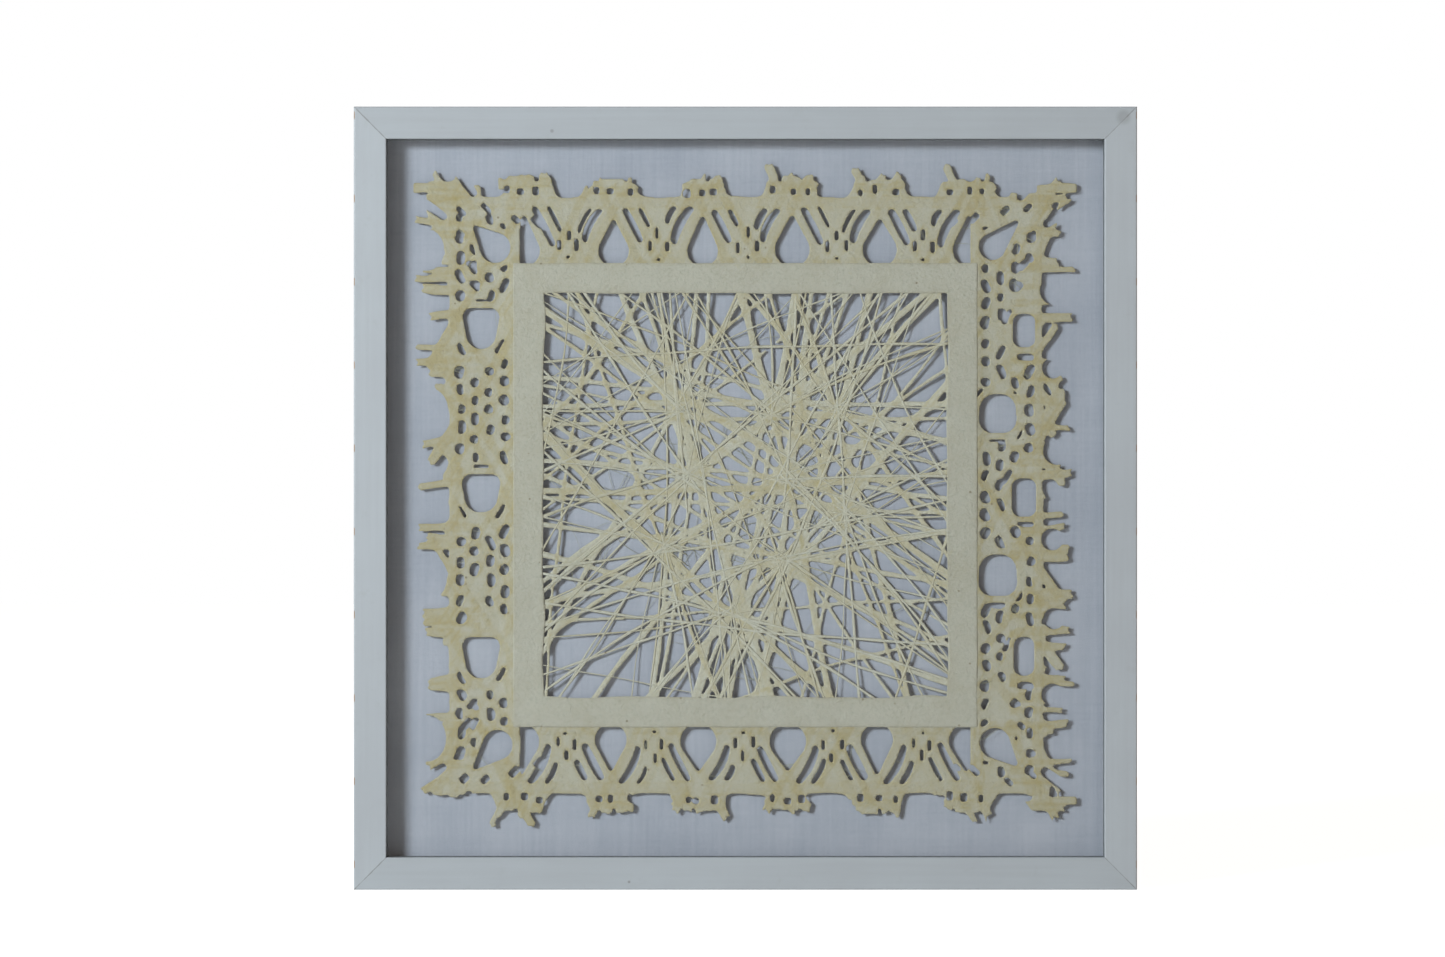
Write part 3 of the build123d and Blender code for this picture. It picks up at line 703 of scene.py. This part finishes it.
def pierceStiles(sheet, rng):
    pitch = openwork["windowPitch"]
    inner = [(i * pitch, 33) for i in (-1, 0, 1)]
    staggered = [(i * pitch / 2, 21) for i in (-1, 1)] + [(i * pitch, 50) for i in (-1, 0, 1)]
    for side, windows in ((leftSide, inner), (rightSide, staggered)):
        # whole paper here too, with rows of small leaning holes between the windows
        v, u = toSide(side)
        sheet = blended(sheet, np.maximum(np.abs(v) - border["corner"], np.abs(u - 29) - 36), 1.2)
        for row, up in enumerate(border["holeRows"]):
            for k in range(-14, 15):
                x = (k + 0.5 * (row % 2)) * border["holePitch"] + rng.uniform(-2, 2)
                if any(abs(x - wx) < 31 and abs(up - wu) < 25 for wx, wu in windows) or rng.random() > 0.92:
                    continue
                slant, long = rng.uniform(-0.55, 0.55), rng.uniform(5, 8.2)
                x0, u0, x1, u1 = x - long, up - slant * long, x + long, up + slant * long
                hole = slitHole(v, u, x0, u0, x1, u1, rng.uniform(6, 10.5), rng.uniform(-2, 2))
                sheet = np.maximum(sheet, -hole)
        for wx, wu in windows:  # slots that follow the window
            for v0, u0, v1, u1, wide in border["windowSlots"]:
                if wu + u1 > 4 and wu + u0 < 62:
                    away = rng.uniform(-2, 2)
                    slot = slitHole(v, u, wx + v0 + away, wu + u0, wx + v1 + away, wu + u1,
                                    wide * rng.uniform(0.8, 1.2), rng.uniform(-2, 2))
                    sheet = np.maximum(sheet, -slot)
    v, u = toSide(leftSide)
    for i in (-1, 0, 1):
        x = i * pitch + rng.uniform(-3, 3)
        window = roundedHole(v - x, u - 33, rng.uniform(33, 37), rng.uniform(38, 43), 12, 0.2)
        sheet = pierced(sheet, window, 6)
    for x in border["leftScallops"]:
        x += rng.uniform(-5, 5)
        sheet = np.maximum(sheet, rng.uniform(20, 25) - np.hypot(v - x, (u - 88) * rng.uniform(1, 1.3)))
    v, u = toSide(rightSide)
    for i in (-0.5, 0.5):
        x = i * pitch + rng.uniform(-3, 3)
        window = roundedHole(v - x, u - 21, rng.uniform(35, 39), rng.uniform(39, 44), 15, 0.06)
        sheet = pierced(sheet, window, 6)
    for i in (-1, 0, 1):
        x = i * pitch + rng.uniform(-3, 3)
        sheet = pierced(sheet, roundedHole(v - x, u - 48, rng.uniform(20, 25), rng.uniform(34, 40), 9), 4.5)
    for x in border["rightScallops"]:
        x += rng.uniform(-6, 6)
        sheet = np.maximum(sheet, rng.uniform(9, 15) - np.hypot(v - x, u - rng.uniform(76, 82)))
    return sheet


def pierceCorners(sheet, rng):  # p runs out along the diagonal and q across it
    for side in range(4):
        a = radians(90 * side)
        x, z = gridX * cos(a) + gridZ * sin(a), gridZ * cos(a) - gridX * sin(a)
        p, q = (x + z) / sqrt(2) - 1.414 * band, (z - x) / sqrt(2)
        drop = dropHole(q + rng.uniform(-2, 2), p - 12, rng.uniform(13, 16), rng.uniform(42, 48), 2.5)
        sheet = pierced(sheet, drop, 5)
        for along, away in border["cornerOvals"]:
            oval = roundedHole(p - along - rng.uniform(-3, 3), q - away - rng.uniform(-3, 3),
                               rng.uniform(5, 8), rng.uniform(8, 14), 2.4)
            sheet = np.maximum(sheet, -oval)
        for away in border["cornerSplits"]:  # the corner is torn into three fingers
            split = slitHole(q, p, away, rng.uniform(74, 80), 1.4 * away, 120, rng.uniform(8, 12))
            sheet = np.maximum(sheet, -split)
    return sheet


def borderLace():
    rng = Random(openwork["seed"])
    field = newField(openwork["laceBlend"])
    lean = 1 / tan(radians(openwork["flank"]))
    middleDrop = (openwork["drops"] - 1) / 2
    drops = [(i - middleDrop) * openwork["dropPitch"] + rng.uniform(-3, 3)
             for i in range(openwork["drops"])]
    strips = railStrips(rng, drops, lean) + stileStrips(rng)
    rng.shuffle(strips)
    for side, v0, u0, v1, u1, wide, tint in strips:
        bow = rng.uniform(-2, 2)
        layStrip(field, toSheet(side, v0, u0), toSheet(side, v1, u1), wide, rng, bow, 1.4, tint)
    sheet = pierceRails(distance(field), rng, drops, lean)
    sheet = pierceStiles(sheet, rng)
    sheet = pierceCorners(sheet, rng)
    edge = np.maximum(np.abs(gridX), np.abs(gridZ))
    sheet = np.maximum(sheet, edge - line[-2])  # the longest tabs end inside the field
    return joinedToBand(np.maximum(sheet, band - 4 - edge)), field


def starPlaces():  # where the strands of the web meet, spread evenly round the middle
    golden = pi * (3 - sqrt(5))
    reach = [20 + 112 * ((i + 0.5) / openwork["starNodes"]) ** 0.55 for i in range(openwork["starNodes"])]
    return [(r * cos(i * golden + 0.4), r * sin(i * golden + 0.4)) for i, r in enumerate(reach)]


def webSag(x, z):  # how far the web has sunk at a place
    return openwork["sag"] * np.clip(1 - (x / opening) ** 4, 0, 1) * np.clip(1 - (z / opening) ** 4, 0, 1)


def laceDroop(x, z):
    return openwork["droop"] * np.clip((np.maximum(np.abs(x), np.abs(z)) - band) / 14, 0, 1)


def innerWeb():
    rng = Random(openwork["seed"] + 16)
    field = newField(openwork["webBlend"])
    bite = opening + 8
    strands = []
    for px, pz in starPlaces():
        first = rng.uniform(0, pi)
        for k in range(openwork["strandsThrough"]):
            angle = first + pi * (k + rng.uniform(-0.3, 0.3)) / openwork["strandsThrough"]
            x, z = px + rng.uniform(-4, 4), pz + rng.uniform(-4, 4)
            strands.append((x, z, angle, rng.choice(openwork["strandWidths"])))
    for i in range(openwork["strays"]):
        angle, away = pi * (i + rng.random()) / openwork["strays"], rng.uniform(-235, 235)
        strands.append((-sin(angle) * away, cos(angle) * away, angle, rng.choice(openwork["strayWidths"])))
    rng.shuffle(strands)
    for px, pz, angle, wide in strands:
        c, s = cos(angle) + 1e-9, sin(angle) + 1e-9
        spanX = sorted(((bite - px) / c, (-bite - px) / c))
        spanZ = sorted(((bite - pz) / s, (-bite - pz) / s))
        t0, t1 = max(spanX[0], spanZ[0]), min(spanX[1], spanZ[1])
        if t1 - t0 > 60:
            tint = 0.9 if rng.random() < 0.12 else None
            start, end = (px + c * t0, pz + s * t0), (px + c * t1, pz + s * t1)
            layStrip(field, start, end, wide, rng, rng.uniform(-9, 9), 2.0, tint)
    edge = np.maximum(np.abs(gridX), np.abs(gridZ))
    return joinedToBand(np.maximum(distance(field), edge - opening - 5)), field


# the paper's outline in one cell: its corners a lower left, b lower right, c upper right and d upper left
# count 1, 2, 4 and 8 where they are paper, and ab, bc, cd and da are cuts on its sides
cellCorners = {
    1: ["a", "ab", "da"],
    2: ["b", "bc", "ab"],
    3: ["a", "b", "bc", "da"],
    4: ["c", "cd", "bc"],
    6: ["b", "c", "cd", "ab"],
    7: ["a", "b", "c", "cd", "da"],
    8: ["d", "da", "cd"],
    9: ["a", "ab", "cd", "d"],
    11: ["a", "b", "bc", "cd", "d"],
    12: ["c", "d", "da", "bc"],
    13: ["a", "ab", "bc", "c", "d"],
    14: ["b", "c", "d", "da", "ab"],
    15: ["a", "b", "c", "d"],
    5: ["a", "ab", "bc", "c", "cd", "da"],
    10: ["b", "bc", "cd", "d", "da", "ab"],
}


def paperFromField(name, sheet, relief, back, material, marks, sink=0):
    # cuts the sheet out of the field cell by cell, front and back, and walls its edges
    small = 0.14 * step  # keeps a cut off the corners of its cell
    sheet = np.where(np.abs(sheet) < small, np.where(sheet < 0, -small, small), sheet)
    paper = sheet < 0
    index = {}
    x, z, tall = [], [], []

    def keep(key, px, pz, ph, values):
        start = sum(len(part) for part in x)
        index[key] = np.full(paper.shape, -1)
        where = index[key][tuple(slice(0, k) for k in px.shape)]
        chosen = values["chosen"]
        where[chosen] = start + np.arange(chosen.sum())
        x.append(px[chosen])
        z.append(pz[chosen])
        tall.append(ph[chosen])
        for m in marks:
            own[m].append(values[m][chosen])

    marks = dict(marks, sink=sink + 0 * sheet)
    own = {m: [] for m in marks}
    keep("point", gridX, gridZ, relief, dict(marks, chosen=paper))
    for key, one, two in (("flat", np.s_[:, :-1], np.s_[:, 1:]), ("up", np.s_[:-1, :], np.s_[1:, :])):
        a, b = sheet[one], sheet[two]
        part = a / np.where(a == b, 1, a - b)
        cutX = gridX[one] + part * (gridX[two] - gridX[one])
        cutZ = gridZ[one] + part * (gridZ[two] - gridZ[one])
        mixed = {m: np.where(a < 0, v[one], v[two]) for m, v in marks.items()}
        rim = np.where(a < 0, relief[one], relief[two]) - 0.12  # the cut edge is pressed a little thinner
        keep(key, cutX, cutZ, rim, dict(mixed, chosen=paper[one] != paper[two]))
    x, z, tall = np.concatenate(x), np.concatenate(z), np.concatenate(tall)
    here, after = np.s_[:-1], np.s_[1:]
    corner = {
        "a": index["point"][here, here], "b": index["point"][here, after],
        "c": index["point"][after, after], "d": index["point"][after, here],
        "ab": index["flat"][here, here], "cd": index["flat"][after, here],
        "da": index["up"][here, here], "bc": index["up"][here, after],
    }
    kind = paper[:-1, :-1] + 2 * paper[:-1, 1:] + 4 * paper[1:, 1:] + 8 * paper[1:, :-1]
    total = len(x)
    faces, walls = [], []
    for number, ring in cellCorners.items():
        cells = kind == number
        if not cells.any():
            continue
        columns = np.stack([corner[r][cells] for r in ring], axis=1)
        faces += columns.tolist()
        faces += (columns[:, ::-1] + total).tolist()
        for i, point in enumerate(ring):
            if len(point) == 2 and len(ring[(i + 1) % len(ring)]) == 2:  # a cut edge, so it gets a wall
                p, q = columns[:, i], columns[:, (i + 1) % len(ring)]
                walls += np.stack([q, p, p + total, q + total], axis=1).tolist()
    under = back + np.concatenate(own.pop("sink"))
    points = np.concatenate([np.stack([x, under - tall, z], axis=1), np.stack([x, under, z], axis=1)])
    points[:, 2] += openwork["middle"]
    piece = addPiece(name, points.tolist(), faces + walls, material)
    flat = np.zeros(len(faces) + len(walls), dtype=bool)
    flat[len(faces):] = True
    piece.data.polygons.foreach_set("use_smooth", ~flat)
    for m in own:
        values = np.concatenate(own[m])
        both = np.concatenate([values, values]).astype(np.float32)
        piece.data.attributes.new(m, "FLOAT", "POINT").data.foreach_set("value", both)
    piece.data.update()
    return piece


fibre = {
    "grit": "#8F8E80",
    "paleHair": "#BDB9A4",
    "soak": "#A6924E",
    "husk": "#6F5A3C",
    "speck": "#75592F",
    "cloud": 38,  # mm across, and so are the next six
    "felt": 5.5,
    "hair": 9,
    "grain": 2.6,
    "soakPatch": 16,
    "huskApart": 11,
    "speckApart": 4.5,
}


def fibrePaper(name, fresh, aged):
    # beaten plant-fibre paper, sized and felted wet: dull, warm where strips cross and along cut edges,
    # darker along the laps, partly the paper's own colour and partly painted shade of the creases
    m = newMaterial(name)
    place = addNode(m, "TexCoord").outputs["Object"]
    crossing, rim, tint, seamAndCreaseShade = (addNode(m, "Attribute", attribute_name=mark).outputs["Fac"]
                                 for mark in ("crossing", "rim", "tint", "seamAndCreaseShade"))
    cloud = addNode(m, "TexNoise", {
        "Vector": place, "Scale": perMetre(fibre["cloud"]), "Detail": 4, "Roughness": 0.6})
    felt = addNode(m, "TexNoise", {"Vector": place, "Scale": perMetre(fibre["felt"]), "Detail": 6,
                                   "Roughness": 0.68, "Distortion": 0.8})
    hair = addNode(m, "TexNoise", {"Vector": place, "Scale": perMetre(fibre["hair"]), "Detail": 5,
                                   "Roughness": 0.5, "Distortion": 1.5},
                   noise_type="RIDGED_MULTIFRACTAL")
    age = addNode(m, "Math", {0: cloud.outputs["Fac"], 1: 0.75, 2: -0.2}, operation="MULTIPLY_ADD")
    # the lap line weight is partly the paper's colour and partly painted crease shade
    for value, weight in ((crossing, 0.2), (rim, 0.36), (tint, 0.34), (seamAndCreaseShade, 0.42),
                          (felt.outputs["Fac"], 0.6)):
        age = addNode(m, "Math", {0: value, 1: weight, 2: age.outputs[0]}, operation="MULTIPLY_ADD")
    age = addNode(m, "MapRange", {"Value": age.outputs[0], "From Min": 0.4, "From Max": 1.1})
    colour = addNode(m, "Mix", {
        0: age.outputs[0], 6: hexColour(fresh), 7: hexColour(aged)}, data_type="RGBA")
    grain = addNode(m, "TexNoise", {
        "Vector": place, "Scale": perMetre(fibre["grain"]), "Detail": 5, "Roughness": 0.75})
    grey = addNode(m, "MapRange", {
        "Value": grain.outputs["Fac"], "From Min": 0.5, "From Max": 0.72, "To Max": 0.5})
    colour = addNode(m, "Mix", {
        0: grey.outputs[0], 6: colour.outputs[2], 7: hexColour(fibre["grit"])}, data_type="RGBA")
    pale = addNode(m, "MapRange", {
        "Value": hair.outputs["Fac"], "From Min": 0.75, "From Max": 1.6, "To Max": 0.3})
    colour = addNode(m, "Mix", {
        0: pale.outputs[0], 6: colour.outputs[2], 7: hexColour(fibre["paleHair"])}, data_type="RGBA")
    # ochre soak, in patches on the most crossed places
    soakCloud = addNode(m, "TexNoise", {
        "Vector": place, "Scale": perMetre(fibre["soakPatch"]), "Detail": 3})
    soak = addNode(m, "Math", {0: crossing, 1: 0.22, 2: soakCloud.outputs["Fac"]}, operation="MULTIPLY_ADD")
    soak = addNode(m, "MapRange", {
        "Value": soak.outputs[0], "From Min": 0.68, "From Max": 0.95, "To Max": 0.55})
    colour = addNode(m, "Mix", {
        0: soak.outputs[0], 6: colour.outputs[2], 7: hexColour(fibre["soak"])}, data_type="RGBA")
    # husk flecks
    fleck = addNode(m, "TexVoronoi", {
        "Vector": place, "Scale": perMetre(fibre["huskApart"]), "Randomness": 1})
    chance = addNode(m, "SeparateColor", {0: fleck.outputs["Color"]})
    size = addNode(m, "MapRange", {
        "Value": chance.outputs[0], "From Min": 0.6, "From Max": 1, "To Min": 0, "To Max": 0.12})
    fleck = addNode(m, "Math", {0: fleck.outputs["Distance"], 1: size.outputs[0]}, operation="LESS_THAN")
    fleck = addNode(m, "Math", {0: fleck.outputs[0], 1: 0.6}, operation="MULTIPLY")
    colour = addNode(m, "Mix", {
        0: fleck.outputs[0], 6: colour.outputs[2], 7: hexColour(fibre["husk"])}, data_type="RGBA")
    # brown specks caught where many strips cross
    speck = addNode(m, "TexVoronoi", {
        "Vector": place, "Scale": perMetre(fibre["speckApart"]), "Randomness": 1})
    size = addNode(m, "MapRange", {"Value": crossing, "From Min": 0.45, "From Max": 1, "To Max": 0.17})
    speck = addNode(m, "Math", {0: speck.outputs["Distance"], 1: size.outputs[0]}, operation="LESS_THAN")
    speck = addNode(m, "Math", {0: speck.outputs[0], 1: 0.55}, operation="MULTIPLY")
    colour = addNode(m, "Mix", {
        0: speck.outputs[0], 6: colour.outputs[2], 7: hexColour(fibre["speck"])}, data_type="RGBA")
    height = addNode(m, "Math", {
        0: hair.outputs["Fac"], 1: 0.5, 2: felt.outputs["Fac"]}, operation="MULTIPLY_ADD")
    bump = addNode(m, "Bump", {"Height": height.outputs[0], "Strength": 0.7, "Distance": 0.0013})
    shader = addNode(m, "BsdfPrincipled", {
        "Base Color": colour.outputs[2], "Roughness": 0.8, "Specular IOR Level": 0.3,
        "Normal": bump.outputs[0]})
    addNode(m, "OutputMaterial", {"Surface": shader.outputs[0]})
    return m


def joinedToBand(sheet):
    # drops crumbs that no strip holds
    edge = np.maximum(np.abs(gridX), np.abs(gridZ))
    paper = sheet < 0
    joined = paper & (edge > opening) & (edge < band)
    while True:
        grown = joined.copy()
        grown[1:] |= joined[:-1]
        grown[:-1] |= joined[1:]
        grown[:, 1:] |= joined[:, :-1]
        grown[:, :-1] |= joined[:, 1:]
        grown &= paper
        if (grown == joined).all():
            return np.where(paper & ~joined, 1.0, sheet)
        joined = grown


def sheetMarks(sheet, field):
    return {
        "crossing": np.clip((field["layers"] - 1) / 3, 0, 1),
        "rim": np.exp(np.clip(sheet, -12, 0) / 1.6),
        "tint": np.clip(field["tint"], 0, 1),
        "seamAndCreaseShade": np.clip(field["seamAndCreaseShade"], 0, 1) * np.clip(field["layers"] - 0.6, 0, 1),
    }


def declarePaper(piece):
    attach(piece, "root")
    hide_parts("openwork_paper")


lacePaper = fibrePaper("feltedFibrePaperLace", "#BBB3A2", "#B0A07A")
webPaper = fibrePaper("feltedFibrePaperWeb", "#C7C2B6", "#BBAE90")
bandPaper = fibrePaper("feltedFibrePaperBand", "#BCB5A7", "#AA9E87")


def openworkSheet():
    back = (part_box("openwork_paper")[1] * 1000).y
    lace, laceField = borderLace()
    relief = 0.6 + 0.07 * np.clip(laceField["layers"], 0, 4) * laceField["crown"] ** 0.5
    piece = paperFromField("paper_border_lace", lace, relief, back, lacePaper, sheetMarks(lace, laceField),
                           laceDroop(gridX, gridZ))
    declarePaper(piece)
    print("border lace", len(piece.data.polygons), "faces")
    web, webField = innerWeb()
    relief = 0.56 + 0.08 * np.clip(webField["layers"], 0, 4) * webField["crown"] ** 0.5
    piece = paperFromField("paper_inner_web", web, relief, back, webPaper, sheetMarks(web, webField),
                           webSag(gridX, gridZ))
    declarePaper(piece)
    print("inner web", len(piece.data.polygons), "faces")
    # the plain square band lies over both and hides where the strips end; its inner edge is torn
    rng = Random(openwork["seed"] + 40)
    waves = [(rng.uniform(9, 60), rng.uniform(0, 6.3), rng.uniform(0.15, 0.45)) for i in range(7)]
    torn = sum(h * np.sin(gridX / w + p) * np.cos(gridZ / w - p) for w, p, h in waves)
    edge = np.maximum(np.abs(gridX), np.abs(gridZ))
    shape = np.maximum(edge - band + 0.3 * torn, opening - edge + 1.7 * torn)
    marks = sheetMarks(shape, newField(1.0))
    piece = paperFromField("paper_square_band", shape, 0.9 + 0.02 * torn, back - 0.05, bandPaper, marks)
    declarePaper(piece)
    print("square band", len(piece.data.polygons), "faces")
    return lace, web


laceSheet, webSheet = openworkSheet()


# fine strands: narrow single strips laid over the web, fanning from the same places out to the band

fine = {
    "perPlace": 9,
    "strays": 30,
    "width": (1.1, 3.1),
    "rise": 0.98,  # mm from the back of the web to the top of a strand
    "stride": 8,
    "section": ((-1, 0.6, 1), (-0.55, 0.97, 0.2), (0.55, 1, 0.2), (1, 0.62, 1),
                (0.6, 0.3, 0.5), (-0.6, 0.3, 0.5)),  # across, tall, rim
    "seed": 23,
}


def fineStrands():
    rng = Random(fine["seed"])
    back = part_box("openwork_paper")[1].y * 1000
    end = opening + 5
    runs = []
    for px, pz in starPlaces():
        outward = atan2(pz, px)
        for k in range(fine["perPlace"]):
            spread = 2.6 * (k + rng.random()) / fine["perPlace"] - 1.3
            runs.append((px + rng.uniform(-5, 5), pz + rng.uniform(-5, 5), outward + spread * 1.25, False))
    for i in range(fine["strays"]):
        angle, away = pi * (i + rng.random()) / fine["strays"], rng.uniform(-225, 225)
        runs.append((-sin(angle) * away, cos(angle) * away, angle, True))
    points, faces, marks = [], [], {"crossing": [], "rim": [], "tint": [], "seamAndCreaseShade": []}
    for px, pz, angle, through in runs:
        c, s = cos(angle) + 1e-9, sin(angle) + 1e-9
        spanX, spanZ = sorted(((end - px) / c, (-end - px) / c)), sorted(((end - pz) / s, (-end - pz) / s))
        t0, t1 = max(spanX[0], spanZ[0]), min(spanX[1], spanZ[1])
        if not through:
            t0 = -rng.uniform(4, 40)
        length = t1 - t0
        if length < 50:
            continue
        rows = int(length / fine["stride"])
        bow, wave, phase = rng.uniform(-0.035, 0.035) * length, rng.uniform(19, 34), rng.uniform(0, 6.3)
        wide, tint, first = rng.uniform(*fine["width"]), rng.random() ** 2, len(points)
        for i in range(rows + 1):
            t = i / rows
            along = t0 + length * t
            aside = bow * 4 * t * (1 - t) + 0.8 * sin(length * t / wave + phase) * sin(pi * t)
            x, z = px + c * along - s * aside, pz + s * along + c * aside
            x, z = max(-end, min(end, x)), max(-end, min(end, z))
            half = wide / 2 * (1 + 0.22 * sin(length * t / 11 + phase)) * (1 if through or i else 0.3)
            near = min(max((opening - max(abs(x), abs(z))) / 7, 0), 1)
            sunk = back + float(webSag(x, z))
            for across, tall, rim in fine["section"]:
                high = fine["rise"] * tall * (0.5 + 0.5 * near)
                points.append((x - s * across * half, sunk - high,
                               z + c * across * half + openwork["middle"]))
                for name, value in (("crossing", 0.2), ("rim", rim), ("tint", tint), ("seamAndCreaseShade", 0)):
                    marks[name].append(value)
        for i in range(rows):
            for k in range(6):
                a, b = first + i * 6 + k, first + i * 6 + (k + 1) % 6
                faces.append((a, a + 6, b + 6, b))
        faces.append([first + k for k in range(6)])
        faces.append([first + rows * 6 + k for k in range(5, -1, -1)])
    piece = addPiece("paper_fine_strands", points, faces, webPaper)
    for name, values in marks.items():
        piece.data.attributes.new(name, "FLOAT", "POINT").data.foreach_set("value", values)
    declarePaper(piece)
    print("fine strands", len(runs), "with", len(faces), "faces")


fineStrands()


# loose hairs of fibre across the holes

hairs = {
    "web": 190,
    "lace": 120,
    "radius": (0.16, 0.34),
    "height": -1.42,  # y of a hair before it sags
    "rows": 8,
    "seed": 9,
}


def looseHairs():
    rng = Random(hairs["seed"])
    points, faces = [], []

    def addHair(x0, z0, x1, z1, sink=0.0):
        radius = rng.uniform(*hairs["radius"])
        bend, sag = rng.uniform(-0.09, 0.09), rng.uniform(0.05, 0.3)
        length = hypot(x1 - x0, z1 - z0)
        rows = hairs["rows"]
        first = len(points)
        angle = atan2(z1 - z0, x1 - x0)
        for i in range(rows + 1):
            t = i / rows
            out = bend * length * 4 * t * (1 - t)
            x, z = x0 + (x1 - x0) * t - sin(angle) * out, z0 + (z1 - z0) * t + cos(angle) * out
            y = hairs["height"] + sink + sag * sin(pi * t)
            thin = radius * (1 - 0.5 * abs(2 * t - 1))
            for k in range(5):
                a = 2 * pi * k / 5
                aside = cos(a) * thin
                points.append((x - sin(angle) * aside, y + sin(a) * thin,
                               z + cos(angle) * aside + openwork["middle"]))
        for i in range(rows):
            for k in range(5):
                a, b = first + i * 5 + k, first + i * 5 + (k + 1) % 5
                faces.append((a, b, b + 5, a + 5))
        faces.append([first + k for k in range(4, -1, -1)])
        faces.append([first + rows * 5 + k for k in range(5)])

    def sheetAt(sheet, x, z):
        i, j = (int(round((q + openwork["fieldHalf"]) / step)) for q in (x, z))
        return sheet[j, i] if 0 <= i < count and 0 <= j < count else 9

    made = 0
    while made < hairs["web"]:
        x, z = rng.uniform(-opening, opening), rng.uniform(-opening, opening)
        angle, length = rng.uniform(0, pi), rng.uniform(10, 46)
        ends = [(x + way * cos(angle) * length / 2, z + way * sin(angle) * length / 2) for way in (-1, 1)]
        inBand = [max(abs(p), abs(q)) > opening for p, q in ends]
        held = all(sheetAt(webSheet, *e) < -0.8 for e in ends) and not any(inBand)
        if sheetAt(webSheet, x, z) > 1 and held:
            addHair(*ends[0], *ends[1], float(webSag(x, z)))
            made += 1
    made = 0
    while made < hairs["lace"]:
        side, v, u = rng.randrange(4), rng.uniform(-290, 290), rng.uniform(5, 70)
        angle, length = rng.uniform(0, pi), rng.uniform(8, 30)
        x, z = toSheet(side, v, u)
        ends = [(x + way * cos(angle) * length / 2, z + way * sin(angle) * length / 2) for way in (-1, 1)]
        if sheetAt(laceSheet, x, z) > 1 and all(sheetAt(laceSheet, *e) < -0.8 for e in ends):
            addHair(*ends[0], *ends[1], float(laceDroop(x, z)))
            made += 1
    m = newMaterial("loosePlantFibre")  # single bast fibres, paler than the sheet
    place = addNode(m, "TexCoord").outputs["Object"]
    tone = addNode(m, "TexNoise", {"Vector": place, "Scale": perMetre(6), "Detail": 3})
    colour = addNode(m, "Mix", {
        0: tone.outputs["Fac"], 6: hexColour("#8E8A74"), 7: hexColour("#B0AC96")}, data_type="RGBA")
    shader = addNode(m, "BsdfPrincipled", {"Base Color": colour.outputs[2], "Roughness": 0.7})
    addNode(m, "OutputMaterial", {"Surface": shader.outputs[0]})
    declarePaper(addPiece("paper_loose_hairs", points, faces, m))
    print("loose hairs", made + hairs["web"])


looseHairs()
